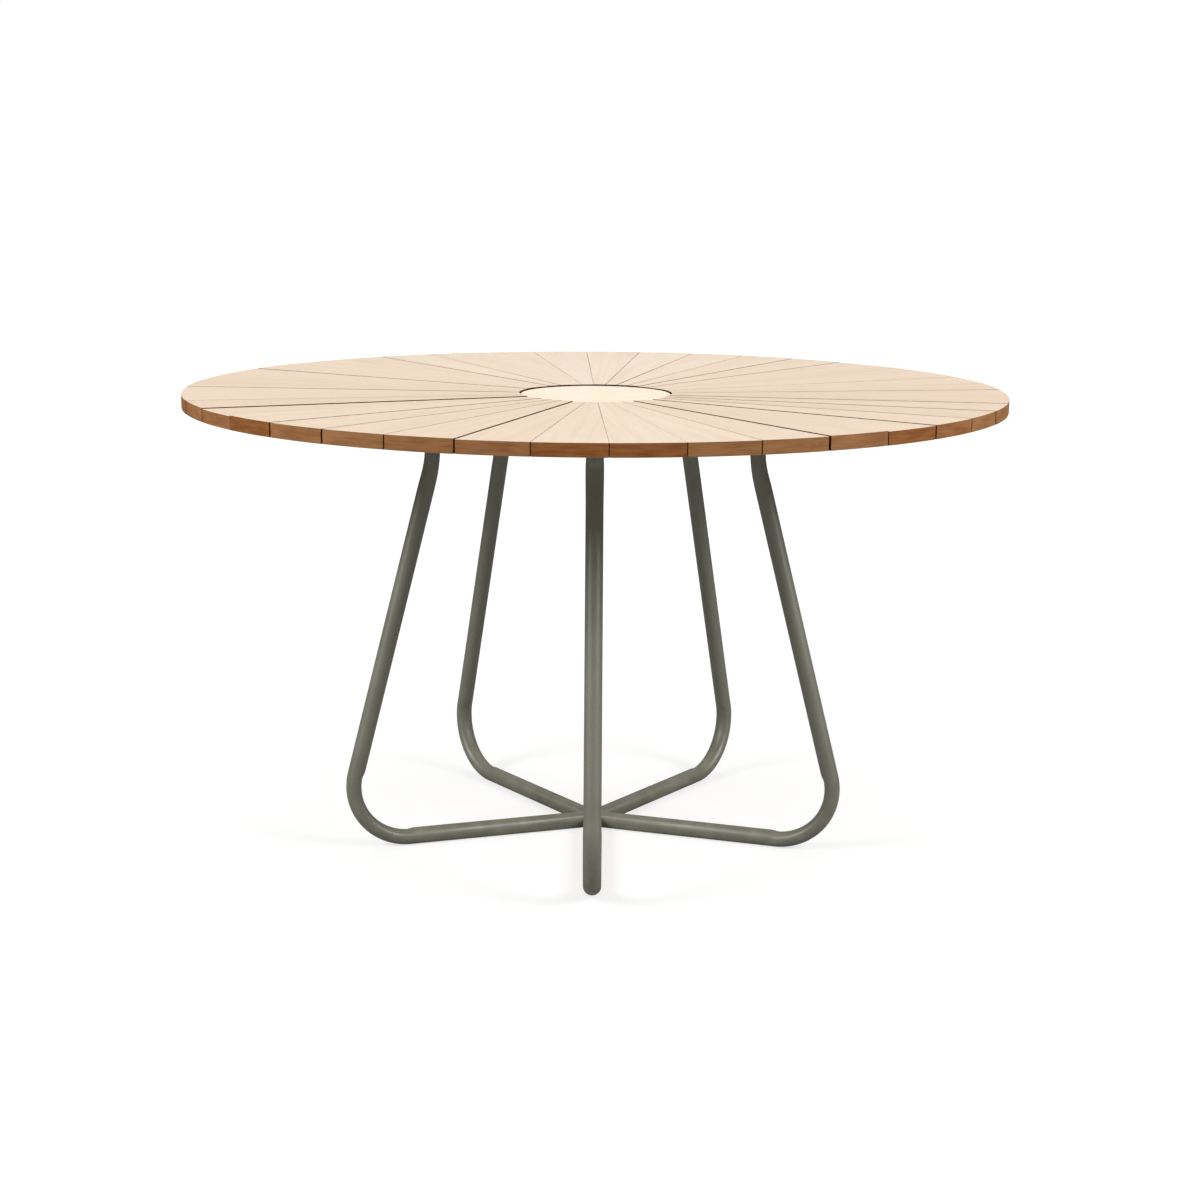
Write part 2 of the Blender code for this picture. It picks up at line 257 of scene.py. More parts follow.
def level_heights(node):
    """Heights of a CAD node's faces as they would be without the top's fall."""
    raised = [point.z + fall(math.hypot(point.x, point.y)) for point in points_of(node)]
    return min(raised), max(raised)


def direction_of(node):
    """The direction from the table's axis to the middle of a CAD node."""
    low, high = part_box(node)
    rough = math.atan2(low.y + high.y, low.x + high.x)
    turns = [(math.atan2(point.y, point.x) - rough + math.pi) % (2 * math.pi) - math.pi
             for point in points_of(node)]
    return rough + (min(turns) + max(turns)) / 2


# The slats' inner and outer radius
HOLE, RIM = reach("slat_01")


# Shader helpers

def add_node(tree, kind, inputs=None, **settings):
    """Add a shader node; each input is a value, or another node's output to link."""
    item = tree.nodes.new(kind)
    for key, value in settings.items():
        setattr(item, key, value)
    for key, value in (inputs or {}).items():
        if isinstance(value, bpy.types.NodeSocket):
            tree.links.new(value, item.inputs[key])
        else:
            item.inputs[key].default_value = value
    return item


def new_material(name, roughness, **sockets):
    """Make a Principled material; returns it with its node tree and its shader."""
    material = bpy.data.materials.new(name)
    material.use_nodes = True
    shader = material.node_tree.nodes["Principled BSDF"]
    shader.inputs["Roughness"].default_value = roughness
    for key, value in sockets.items():
        shader.inputs[key.replace("_", " ")].default_value = value
    return material, material.node_tree, shader


def finish_material(tree, shader, colour, relief, depth, rough=None):
    """Link a shader's colour and bump, and its roughness where that varies."""
    tree.links.new(colour, shader.inputs["Base Color"])
    if rough is not None:
        tree.links.new(rough, shader.inputs["Roughness"])
    bump = add_node(tree, "ShaderNodeBump", {"Height": relief, "Distance": depth,
                                             "Strength": 1.0})
    tree.links.new(bump.outputs["Normal"], shader.inputs["Normal"])


def position(tree):
    """The place of a point, in metres."""
    return add_node(tree, "ShaderNodeNewGeometry").outputs["Position"]


def stretch(tree, vector, scale):
    """Scale a coordinate by a different amount on each axis."""
    return add_node(tree, "ShaderNodeVectorMath", {0: vector, 1: scale},
                    operation="MULTIPLY").outputs[0]


def noise_of(tree, vector, scale=1.0, detail=3.0, roughness=0.5, distortion=0.0):
    """Noise from 0 to 1 on a coordinate."""
    return add_node(tree, "ShaderNodeTexNoise",
                    {"Vector": vector, "Scale": scale, "Detail": detail, "Roughness": roughness,
                     "Distortion": distortion}).outputs["Fac"]


def math_of(tree, operation, first, second=0.0, clamp=False):
    """One step of arithmetic."""
    return add_node(tree, "ShaderNodeMath", {0: first, 1: second}, operation=operation,
                    use_clamp=clamp).outputs[0]


def times(tree, first, second):
    """The product of two values."""
    return math_of(tree, "MULTIPLY", first, second)


def remap(tree, value, low, high, to_low=0.0, to_high=1.0, kind="SMOOTHSTEP"):
    """Map one range of a value to another."""
    return add_node(tree, "ShaderNodeMapRange",
                    {"Value": value, "From Min": low, "From Max": high, "To Min": to_low,
                     "To Max": to_high}, interpolation_type=kind).outputs[0]


def mix(tree, share, first, second):
    """Mix two colours."""
    return add_node(tree, "ShaderNodeMix", {0: share, 6: first, 7: second},
                    data_type="RGBA").outputs[2]


def mix_value(tree, share, first, second):
    """Mix two plain values."""
    return add_node(tree, "ShaderNodeMix", {0: share, 2: first, 3: second},
                    data_type="FLOAT").outputs[0]


def tinge(tree, base, mask, share, colour):
    """Mix some of a colour in where a mask is."""
    return mix(tree, times(tree, mask, share), base, colour)


def rgb(red, green, blue):
    """A colour written in the 0 to 255 values of a picture, as the shader's linear colour."""
    def linear(value):
        value /= 255
        return value / 12.92 if value <= 0.04045 else ((value + 0.055) / 1.055) ** 2.4
    return (linear(red), linear(green), linear(blue), 1.0)


# Materials: A and B are the two ends of what a colour varies between

TOP_LIGHT_A = rgb(229, 208, 186)
TOP_LIGHT_B = rgb(238, 222, 203)
TOP_DARK_A = rgb(223, 200, 177)
TOP_DARK_B = rgb(232, 215, 195)
TOP_BLUSH = rgb(224, 192, 168)
TOP_PORE = rgb(186, 152, 124)
EDGE_DARK_A = rgb(132, 79, 36)
EDGE_DARK_B = rgb(152, 104, 64)
EDGE_LIGHT_A = rgb(156, 99, 53)
EDGE_LIGHT_B = rgb(170, 122, 79)
JOINT_SIDE_PAINTED_SHADE = rgb(74, 37, 19)

LEG_PAINT_A = rgb(113, 113, 95)
LEG_PAINT_B = rgb(119, 119, 101)
WHEEL_PAINT_A = rgb(116, 116, 105)
WHEEL_PAINT_B = rgb(128, 128, 116)
PAINT_SPECKLE = rgb(176, 172, 158)
PAINTED_SHADE_UNDER_TOP = rgb(92, 92, 76)
PAINT_DUST = rgb(168, 160, 140)
PAINT_CHIP = rgb(200, 198, 190)

STONE_A = rgb(247, 230, 207)
STONE_B = rgb(251, 235, 214)
STONE_GRIT = rgb(232, 216, 190)
STONE_PIN_HOLE = rgb(206, 190, 162)
RUBBER_A = rgb(24, 24, 23)
RUBBER_B = rgb(52, 51, 49)
PLASTIC_A = rgb(30, 30, 29)
PLASTIC_B = rgb(42, 42, 40)
ZINC_A = rgb(158, 158, 154)
ZINC_B = rgb(196, 196, 190)

# The wood's grain patterns, as scales along the slat, across it and up it
BAND_GRAIN = (2.2, 90, 90)
FIBRE_GRAIN = (9, 620, 620)
PORE_GRAIN = (60, 1500, 1500)
BLUSH_GRAIN = (2.5, 18, 18)
STREAK_GRAIN = (420, 26, 520)
PATCH_GRAIN = (60, 22, 90)
# How far the grain is shifted from one slat to the next, and how much of that is sideways
GRAIN_SHIFT = 0.731
GRAIN_SIDE_SHIFT = 0.37

# Gloss, and the depth of each material's bump
MATTE_SPECULAR = 0.15
PAINT_SPECULAR = 1.0
PAINT_IOR = 1.62
LEG_PAINT_ROUGHNESS = 0.48
WHEEL_PAINT_ROUGHNESS = 0.46
WOOD_RELIEF = 0.0002
PAINT_RELIEF = 0.00006
STONE_RELIEF = 0.00008
RUBBER_RELIEF = 0.0002
PLASTIC_RELIEF = 0.00006
ZINC_RELIEF = 0.00003


def make_wood():
    """Oiled hardwood, paler on top, with its grain along the slat and darker at the rim; its tops
    carry painted sheen and its sides in the joints painted shade.
    """
    material, tree, shader = new_material("slat_wood", 0.7, Specular_IOR_Level=MATTE_SPECULAR)
    grain = add_node(tree, "ShaderNodeAttribute", attribute_name="grain").outputs["Vector"]
    tints_and_sheen = add_node(tree, "ShaderNodeAttribute", attribute_name="tint_and_sheen").outputs["Vector"]
    tint_and_sheen = add_node(tree, "ShaderNodeSeparateXYZ", {0: tints_and_sheen})
    top_tint_and_sheen, edge_tint = tint_and_sheen.outputs["X"], tint_and_sheen.outputs["Y"]
    normal = add_node(tree, "ShaderNodeTexCoord").outputs["Normal"]
    facing = add_node(tree, "ShaderNodeSeparateXYZ", {0: normal})
    side = remap(tree, math_of(tree, "ABSOLUTE", facing.outputs["Z"]), 0.85, 0.50)
    sideways = math_of(tree, "ABSOLUTE", facing.outputs["Y"])
    inward = times(tree, facing.outputs["X"], -1.0)
    # Painted shade: faces that look sideways or inward, the slats' sides in the joints and at the
    # hole, are painted dark
    joint = remap(tree, math_of(tree, "MAXIMUM", sideways, inward), 0.45, 0.85)

    def grain_noise(waves, detail, **settings):
        return noise_of(tree, stretch(tree, grain, waves), detail=detail, **settings)

    bands = grain_noise(BAND_GRAIN, 3, distortion=0.4)
    fibres = grain_noise(FIBRE_GRAIN, 3, roughness=0.6)
    pores = remap(tree, grain_noise(PORE_GRAIN, 1), 0.62, 0.74)
    figure = math_of(tree, "ADD", times(tree, bands, 0.6), times(tree, fibres, 0.4))
    light = mix(tree, top_tint_and_sheen, TOP_LIGHT_A, TOP_LIGHT_B)
    dark = mix(tree, top_tint_and_sheen, TOP_DARK_A, TOP_DARK_B)
    top = mix(tree, remap(tree, figure, 0.34, 0.62), dark, light)
    blush = remap(tree, grain_noise(BLUSH_GRAIN, 2), 0.55, 0.80)
    top = tinge(tree, top, blush, 0.30, TOP_BLUSH)
    top = tinge(tree, top, pores, 0.12, TOP_PORE)

    streaks = grain_noise(STREAK_GRAIN, 4, distortion=0.3)
    patches = grain_noise(PATCH_GRAIN, 2)
    mottle = times(tree, math_of(tree, "ADD", streaks, patches), 0.5)
    edge = mix(tree, remap(tree, mottle, 0.38, 0.62),
               mix(tree, edge_tint, EDGE_DARK_A, EDGE_DARK_B),
               mix(tree, edge_tint, EDGE_LIGHT_A, EDGE_LIGHT_B))
    edge = mix(tree, joint, edge, JOINT_SIDE_PAINTED_SHADE)
    colour = mix(tree, side, top, edge)

    relief = math_of(tree, "ADD", times(tree, fibres, 0.6),
                     times(tree, mix_value(tree, side, pores, streaks), -0.5))
    rough = remap(tree, figure, 0.3, 0.7, 0.76, 0.64, "LINEAR")
    finish_material(tree, shader, colour, relief, WOOD_RELIEF, rough)
    return material


def make_paint(name, dark, light, roughness):
    """Satin powder-coat: orange peel, mottling, painted shade high up under the top and a little
    dust low down.
    """
    material, tree, shader = new_material(name, roughness, Specular_IOR_Level=PAINT_SPECULAR,
                                          IOR=PAINT_IOR)
    place = position(tree)
    height = add_node(tree, "ShaderNodeSeparateXYZ", {0: place}).outputs["Z"]
    cloud = noise_of(tree, place, 14, 3)
    speckle = remap(tree, noise_of(tree, place, 900, 2), 0.45, 0.75)
    peel = noise_of(tree, place, 520, 2)
    chips = remap(tree, noise_of(tree, place, 150, 2), 0.79, 0.81)
    dust = times(tree, remap(tree, height, 0.16, 0.0),
                 times(tree, remap(tree, noise_of(tree, place, 40, 4), 0.4, 0.7), 0.28))
    base = mix(tree, remap(tree, cloud, 0.35, 0.65), dark, light)
    base = tinge(tree, base, speckle, 0.18, PAINT_SPECKLE)
    # Painted shade: the paint is darker from 0.38 m up, where the table top shades it
    base = tinge(tree, base, remap(tree, height, 0.38, 0.60), 0.30, PAINTED_SHADE_UNDER_TOP)
    base = mix(tree, dust, base, PAINT_DUST)
    base = tinge(tree, base, chips, 0.6, PAINT_CHIP)
    relief = math_of(tree, "ADD", peel, times(tree, chips, -1.5))
    rough = remap(tree, cloud, 0.3, 0.7, roughness - 0.05, roughness + 0.07, "LINEAR")
    finish_material(tree, shader, base, relief, PAINT_RELIEF, rough)
    return material


def make_stone():
    """Pale cream cast stone: faint clouds, fine aggregate and pin holes."""
    material, tree, shader = new_material("cream_stone", 0.6, Specular_IOR_Level=MATTE_SPECULAR)
    place = position(tree)
    cloud = noise_of(tree, place, 22, 4, 0.6)
    grit = noise_of(tree, place, 420, 3, 0.6)
    pin = remap(tree, noise_of(tree, place, 700, 1), 0.74, 0.78)
    base = mix(tree, remap(tree, cloud, 0.3, 0.7), STONE_A, STONE_B)
    base = tinge(tree, base, remap(tree, grit, 0.55, 0.75), 0.15, STONE_GRIT)
    base = tinge(tree, base, pin, 0.4, STONE_PIN_HOLE)
    rough = remap(tree, cloud, 0.3, 0.7, 0.55, 0.68, "LINEAR")
    finish_material(tree, shader, base, math_of(tree, "SUBTRACT", grit, pin), STONE_RELIEF, rough)
    return material


def make_rubber():
    """Black foam rubber with fine open cells."""
    material, tree, shader = new_material("gasket_rubber", 0.85)
    cells = noise_of(tree, position(tree), 800, 3, 0.6)
    base = mix(tree, remap(tree, cells, 0.3, 0.7), RUBBER_A, RUBBER_B)
    finish_material(tree, shader, base, cells, RUBBER_RELIEF)
    return material


def make_plastic():
    """Matte black moulded plastic with a fine grain."""
    material, tree, shader = new_material("plug_plastic", 0.6)
    place = position(tree)
    cloud = noise_of(tree, place, 90, 3)
    base = mix(tree, remap(tree, cloud, 0.35, 0.65), PLASTIC_A, PLASTIC_B)
    finish_material(tree, shader, base, noise_of(tree, place, 1400, 2), PLASTIC_RELIEF)
    return material


def make_zinc():
    """Zinc-plated steel: cool grey with a faint spangle and turning marks."""
    material, tree, shader = new_material("zinc_steel", 0.35, Metallic=1.0)
    place = position(tree)
    spangle = noise_of(tree, place, 260, 4, 0.6)
    base = mix(tree, remap(tree, spangle, 0.35, 0.65), ZINC_A, ZINC_B)
    rough = remap(tree, spangle, 0.3, 0.7, 0.28, 0.46, "LINEAR")
    finish_material(tree, shader, base, noise_of(tree, place, 2000, 2), ZINC_RELIEF, rough)
    return material


# Mesh helpers

def fall(radius):
    """How far the top has fallen at a distance from the table's axis."""
    return min(TOP_FALL, TOP_FALL * (RIM - radius) / (RIM - HOLE))


def settle(bm):
    """Lower each point of a mesh by the top's fall where it stands."""
    for vert in bm.verts:
        vert.co.z -= fall(math.hypot(vert.co.x, vert.co.y))


def to_mesh(bm, name):
    """Turn a bmesh into a mesh and free it."""
    mesh = bpy.data.meshes.new(name)
    bm.to_mesh(mesh)
    bm.free()
    return mesh


def shade(mesh, sharp_angle):
    """Shade a mesh smoothly, but for its sharp edges."""
    mesh.shade_smooth()
    mesh.set_sharp_from_angle(angle=math.radians(sharp_angle))
    return mesh


def finish_mesh(bm, name, sharp_angle=SHARP_ANGLE):
    """Turn a bmesh into a smooth-shaded mesh with its faces outward."""
    bmesh.ops.recalc_face_normals(bm, faces=bm.faces)
    return shade(to_mesh(bm, name), sharp_angle)


def add_object(name, data):
    """Add an object to the scene."""
    item = bpy.data.objects.new(name, data)
    bpy.context.scene.collection.objects.link(item)
    return item


def add_piece(name, mesh, material, nodes=(), angle=0.0, weighted=True):
    """Add a piece, turned about the table's axis, that rides on the table."""
    piece = add_object(name, mesh)
    piece.rotation_euler.z = angle
    if not mesh.materials:
        mesh.materials.append(material)
    if weighted:
        piece.modifiers.new("even_normals", "WEIGHTED_NORMAL").keep_sharp = True
    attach(piece, BODY)
    if nodes:
        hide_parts(*nodes)


def add_at_legs(kind, mesh, material, replaced=None):
    """Add a mesh at each leg, in the place of a CAD node where one is replaced."""
    for name in LEG_NAMES:
        nodes = [f"{replaced}_{name}"] if replaced else ()
        add_piece(f"{kind}_{name}", mesh, material, nodes, LEG_ANGLES[name], weighted=False)


def extrude_outline(bm, outline, low, high):
    """Extrude a plan outline from one height to another."""
    base = bm.faces.new([bm.verts.new((x, y, low)) for x, y in outline])
    raised = bmesh.ops.extrude_face_region(bm, geom=[base], use_keep_orig=True)["geom"]
    bmesh.ops.translate(bm, vec=(0, 0, high - low),
                        verts=[part for part in raised if isinstance(part, bmesh.types.BMVert)])


def round_edges(bm, edges, width, segments):
    """Round edges off."""
    bmesh.ops.bevel(bm, geom=edges, offset=width, segments=segments, affect="EDGES",
                    profile=ROUND_PROFILE, clamp_overlap=True)


def skin_loops(bm, loops, closed=False):
    """Face the strips between neighbouring loops of vertices."""
    neighbours = loops[1:] + loops[:1] if closed else loops[1:]
    for first, second in zip(loops, neighbours):
        for i in range(len(first)):
            j = (i + 1) % len(first)
            bm.faces.new((first[i], first[j], second[j], second[i]))


def skin_solid(bm, loops, closed=False):
    """Face loops of vertices to a solid: joined last to first, or else with both ends faced."""
    skin_loops(bm, loops, closed)
    if not closed:
        bm.faces.new(loops[0])
        bm.faces.new(loops[-1])


def turn_profile(bm, profile, steps, closed=False):
    """Turn a profile of (radius, height) points about the axis."""
    loops = [[bm.verts.new((*polar(radius, angle), height)) for angle in round_angles(steps)]
             for radius, height in profile]
    skin_solid(bm, loops, closed)


def eased_corner(centre, radius, start, end, steps=EASE_STEPS):
    """Points round a corner of a profile, with angles in degrees."""
    return [(centre[0] + radius * math.cos(math.radians(start + (end - start) * i / steps)),
             centre[1] + radius * math.sin(math.radians(start + (end - start) * i / steps)))
            for i in range(steps + 1)]


def rounded_rectangle(width, depth, corner):
    """Points of an upright or flat outline about its middle."""
    points = []
    for x_side, y_side, start in ((1, -1, -90), (1, 1, 0), (-1, 1, 90), (-1, -1, 180)):
        centre = (x_side * (width / 2 - corner), y_side * (depth / 2 - corner))
        points += eased_corner(centre, corner, start, start + 90, CORNER_STEPS)
    return points


def sweep_bead(bm, points, radius, normal, closed=False):
    """Sweep a round bead along points that lie square to a normal, with a weld's ripples."""
    travelled = 0.0
    loops = []
    last = len(points) - 1
    for i, point in enumerate(points):
        before = points[i - 1] if i or closed else point
        after = points[(i + 1) % len(points)] if i < last or closed else point
        travelled += (point - points[max(i - 1, 0)]).length
        other = (after - before).normalized().cross(normal)
        thickness = radius * (1 + BEAD_RIPPLE * math.sin(2 * math.pi * travelled / BEAD_PITCH))
        if i in (0, last) and not closed:
            thickness *= BEAD_END
        loops.append([bm.verts.new(point + thickness * (normal * math.cos(turn)
                                                        + other * math.sin(turn)))
                      for turn in round_angles(BEAD_SIDES)])
    skin_solid(bm, loops, closed)


# Table top

def slat_outline(outer, gaps, seed):
    """Plan outline of one slat along +X; its sides run beside radii and wander slightly."""
    half = SLAT_PITCH / 2

    def side_point(share, side):
        radius = HOLE + (outer - HOLE) * share
        wander = SIDE_WANDER * (noise.noise((WANDER_WAVES * share, WANDER_SIDE_SHIFT * side, seed))
                                + WANDER_LEAN)
        wander *= math.sin(math.pi * share)
        hole_gap, rim_gap = gaps[0 if side < 0 else 1]
        gap = (hole_gap + (rim_gap - hole_gap) * share) / 2 + max(0.0, wander)
        return polar(radius, side * (half - math.asin(gap / radius)))

    rim_low = math.atan2(*reversed(side_point(1.0, -1)))
    rim_high = math.atan2(*reversed(side_point(1.0, 1)))
    hole_low = math.atan2(*reversed(side_point(0.0, -1)))
    hole_high = math.atan2(*reversed(side_point(0.0, 1)))
    points = [polar(outer, rim_low + (rim_high - rim_low) * i / RIM_STEPS)
              for i in range(RIM_STEPS + 1)]
    points += [side_point(1 - i / SIDE_STEPS, 1) for i in range(1, SIDE_STEPS)]
    points += [polar(HOLE, hole_high + (hole_low - hole_high) * i / HOLE_STEPS)
               for i in range(HOLE_STEPS + 1)]
    points += [side_point(i / SIDE_STEPS, -1) for i in range(1, SIDE_STEPS)]
    return points


def slat_mesh(name, outer, low, high, gaps, seed, tints_and_sheen):
    """One wedge slat with round eased edges; its grain coordinates are kept on the mesh."""
    bm = bmesh.new()
    outline = slat_outline(outer, gaps, seed)
    extrude_outline(bm, outline, low, high)
    corner_points = (outline[0], outline[RIM_STEPS])
    posts = [edge for edge in bm.edges
             if abs(edge.verts[0].co.z - edge.verts[1].co.z) > SLAT_EASE
             and any(math.dist(edge.verts[0].co.xy, point) < SLAT_EASE / 4
                     for point in corner_points)]
    round_edges(bm, posts, RIM_CORNER_EASE, RIM_CORNER_STEPS)
    for height, ease, steps in ((high, SLAT_EASE, SLAT_EASE_STEPS),
                                (low, SLAT_LOWER_EASE, SLAT_LOWER_EASE_STEPS)):
        outer_edges = [edge for edge in bm.edges
                       if all(abs(vert.co.z - height) < LEVEL_TOLERANCE for vert in edge.verts)]
        round_edges(bm, outer_edges, ease, steps)
    settle(bm)
    mesh = finish_mesh(bm, name)
    shift = seed * GRAIN_SHIFT
    grain = mesh.attributes.new("grain", "FLOAT_VECTOR", "POINT")
    for i, vert in enumerate(mesh.vertices):
        grain.data[i].vector = (vert.co.x + shift, vert.co.y + GRAIN_SIDE_SHIFT * shift, vert.co.z)
    tint_and_sheen = mesh.attributes.new("tint_and_sheen", "FLOAT_VECTOR", "POINT")
    for item in tint_and_sheen.data:
        item.vector = (*tints_and_sheen, 0.0)
    return mesh


def make_slats(material):
    """The slats, each in the place of its CAD node, with small differences between them."""
    draw = random.Random(SEED)
    low, high = level_heights("slat_01")
    gaps = [OPEN_JOINTS.get(i, (SLAT_GAP, SLAT_GAP)) for i in range(SLAT_COUNT)]
    for i in range(SLAT_COUNT):
        node = f"slat_{i + 1:02d}"
        outer = RIM - END_UNEVENNESS * draw.random()
        top = high - DROP_UNIT * SLAT_DROPS[i]
        angle = direction_of(node)
        # Painted sheen on the top by the slat's direction, plus a tint by chance
        top_tint_and_sheen = (PAINTED_SHEEN_FRONT_AND_BACK * math.sin(angle) ** 4 + PAINTED_SHEEN_BACK_OVER_FRONT * math.sin(angle)
                    + CHANCE_TINT * draw.random())
        edge_tint = (RUDDY_TINT * draw.random() if i in RUDDY_SLATS
                     else PLAIN_TINT + (1 - PLAIN_TINT) * draw.random())
        mesh = slat_mesh(f"wood_{node}", outer, low, top, (gaps[i], gaps[(i + 1) % SLAT_COUNT]),
                         float(i), (top_tint_and_sheen, edge_tint))
        add_piece(f"wood_{node}", mesh, material, [node], angle)


def make_disc(material):
    """The round plate in the middle of the top."""
    low, high = heights("centre_disc")
    radius = reach("centre_disc")[1]
    bm = bmesh.new()
    profile = eased_corner((radius - DISC_EASE / 2, low + DISC_EASE / 2), DISC_EASE / 2, -90, 0)
    profile += eased_corner((radius - DISC_EASE, high - DISC_EASE), DISC_EASE, 0, 90)
    turn_profile(bm, profile, RING_STEPS)
    add_piece("stone_centre_disc", finish_mesh(bm, "stone_centre_disc"), material,
              ["centre_disc"])


def dress_gasket(material):
    """The gasket keeps its CAD node and gets only its material."""
    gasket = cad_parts["disc_gasket"]
    gasket.data.materials.clear()
    gasket.data.materials.append(material)


# Steel wheel

def make_steel_ring(node, material):
    """A flat ring with broken edges, in the place of its CAD node."""
    low, high = level_heights(node)
    inside, outside = reach(node)
    ease = STEEL_EASE
    corners = ((outside - ease, high - ease, 0), (inside + ease, high - ease, 90),
               (inside + ease, low + ease, 180), (outside - ease, low + ease, 270))
    profile = []
    for radius, height, start in corners:
        profile += eased_corner((radius, height), ease, start, start + 90, RING_EASE_STEPS)
    bm = bmesh.new()
    turn_profile(bm, profile, RING_STEPS, closed=True)
    settle(bm)
    add_piece(f"steel_{node}", finish_mesh(bm, f"steel_{node}"), material, [node])


def make_arm(name, material, plastic):
    """A box-section arm with a plug in each end."""
    node = f"arm_{name}"
    low, high = level_heights(node)
    angle = LEG_ANGLES[name]
    start, end = spans(node, angle)[0]
    middle = (low + high) / 2
    bore_width = ARM_WIDTH - 2 * ARM_WALL
    bore_height = high - low - 2 * ARM_WALL
    outside = rounded_rectangle(ARM_WIDTH, high - low, ARM_CORNER)
    inside = rounded_rectangle(bore_width, bore_height, ARM_CORNER - ARM_WALL)
    bm = bmesh.new()
    loops = [[bm.verts.new((x, y, middle + z)) for y, z in outline]
             for x, outline in ((start, outside), (end, outside), (end, inside), (start, inside))]
    skin_solid(bm, loops, closed=True)
    settle(bm)
    add_piece(f"steel_{node}", finish_mesh(bm, f"steel_{node}"), material,
              [node], angle)
    bm = bmesh.new()
    ease = STEEL_EASE
    for first, last in ((start, start + PLUG_THICKNESS), (end - PLUG_THICKNESS, end)):
        loops = []
        for x, inset in ((first, ease), (first + ease, 0.0), (last - ease, 0.0), (last, ease)):
            outline = rounded_rectangle(bore_width - 2 * inset, bore_height - 2 * inset, 2 * ease)
            loops.append([bm.verts.new((x, y, middle + z)) for y, z in outline])
        skin_solid(bm, loops)
    settle(bm)
    add_piece(f"plugs_{name}", finish_mesh(bm, f"plugs_{name}"), plastic,
              angle=angle)
    return start, end


def make_plate(name, material):
    """The plate on a leg's upper end, with round corners and broken edges."""
    node = f"plate_{name}"
    low, high = level_heights(node)
    angle = LEG_ANGLES[name]
    (near, far), (right, left) = spans(node, angle)
    middle = (near + far) / 2
    bm = bmesh.new()
    loops = []
    for z, inset in ((low, STEEL_EASE), (low + STEEL_EASE, 0.0), (high - STEEL_EASE, 0.0),
                     (high, STEEL_EASE)):
        outline = rounded_rectangle(far - near - 2 * inset, left - right - 2 * inset,
                                    PLATE_CORNER - inset)
        loops.append([bm.verts.new((middle + x, y, z)) for x, y in outline])
    skin_solid(bm, loops)
    settle(bm)
    add_piece(f"steel_{node}", finish_mesh(bm, f"steel_{node}"), material,
              [node], angle)
    return middle


# Legs

def bend_stations(corner, start, end, radius, steps, rise):
    """Stations round one bend and a little past it: (radius, height, direction, dent)."""
    side = math.copysign(1.0, end - start)
    length = radius * abs(end - start)
    offset = radius * math.tan(abs(end - start) / 2)
    centre = (corner[0] - offset * math.cos(start) - side * radius * math.sin(start),
              corner[1] - offset * math.sin(start) + side * radius * math.cos(start))
    stations = []
    for i in range(-DENT_RUN_IN_STEPS, steps + DENT_RUN_IN_STEPS + 1):
        turned_steps = min(max(i, 0), steps)
        straight = DENT_RUN_IN * (i - turned_steps) / DENT_RUN_IN_STEPS
        run = length * turned_steps / steps + straight
        direction = start + (end - start) * turned_steps / steps
        dent = smooth_step(min((run + DENT_RUN_IN) / rise,
                               (length + DENT_RUN_IN - run) / (2 * DENT_RUN_IN)))
        stations.append((centre[0] + side * radius * math.sin(direction)
                         + straight * math.cos(direction),
                         centre[1] - side * radius * math.cos(direction)
                         + straight * math.sin(direction),
                         direction, side * dent))
    return stations


def leg_section(station):
    """Points of the tube's round section at a station, dented on the inside of a bend."""
    r, z, direction, dent = station
    points = []
    for angle in round_angles(TUBE_SIDES):
        leftward = TUBE_RADIUS * math.cos(angle)
        across = (TUBE_RADIUS + DENT_SPREAD * abs(dent)) * math.sin(angle)
        if leftward * dent > 0:
            leftward -= DENT_DEPTH * dent * math.cos(angle) ** 2
        points.append((r - leftward * math.sin(direction), across,
                       z + leftward * math.cos(direction)))
    return points


def make_legs(material, stub_radius):
    """Five bent tubes, mitred where they meet on the floor."""
    foot = (FOOT_CORNER_RADIUS, TUBE_RADIUS)
    leg_top = heights("leg_front")[1]
    neck = (stub_radius, leg_top - STUB_LENGTH)
    lean = math.atan2(neck[1] - foot[1], neck[0] - foot[0])
    stations = bend_stations(foot, 0.0, lean, LOWER_BEND_RADIUS, LOWER_BEND_STEPS,
                             LOWER_DENT_RISE)
    stations += bend_stations(neck, lean, math.pi / 2, UPPER_BEND_RADIUS, UPPER_BEND_STEPS,
                              UPPER_DENT_RISE)
    stations.append((stub_radius, leg_top, math.pi / 2, 0.0))
    hub = []
    for angle in round_angles(TUBE_SIDES):
        across = TUBE_RADIUS * math.sin(angle)
        hub.append((abs(across) / math.tan(LEG_PITCH / 2) + MITRE_GAP / 2, across,
                    TUBE_RADIUS + TUBE_RADIUS * math.cos(angle)))
    bm = bmesh.new()
    loops = [[bm.verts.new(point) for point in points]
             for points in [hub] + [leg_section(station) for station in stations]]
    skin_loops(bm, loops)
    half = TUBE_SIDES // 2
    bm.faces.new(loops[0][:half + 1])
    bm.faces.new(loops[0][half:] + loops[0][:1])
    bm.faces.new(loops[-1])
    add_at_legs("steel_leg", finish_mesh(bm, "steel_leg", SHARP_ANGLE_LEG), material,
                replaced="leg")


# Welds

def make_hub_weld(material):
    """Beads along the mitres where the five foot runs meet."""
    bm = bmesh.new()
    for angle in LEG_ANGLES.values():
        joint = angle + LEG_PITCH / 2
        points = []
        for i in range(HUB_BEAD_STEPS + 1):
            turn = math.radians(HUB_BEAD_START + HUB_BEAD_TURN * i / HUB_BEAD_STEPS)
            away = TUBE_RADIUS * math.sin(turn) / math.sin(LEG_PITCH / 2)
            height = TUBE_RADIUS + TUBE_RADIUS * math.cos(turn) - HUB_BEAD / 2
            points.append(Vector((*polar(away, joint), height)))
        sweep_bead(bm, points, HUB_BEAD, Vector((*polar(1.0, joint + math.pi / 2), 0.0)))
    add_piece("weld_hub", finish_mesh(bm, "weld_hub", SHARP_ANGLE_WELD), material,
              weighted=False)


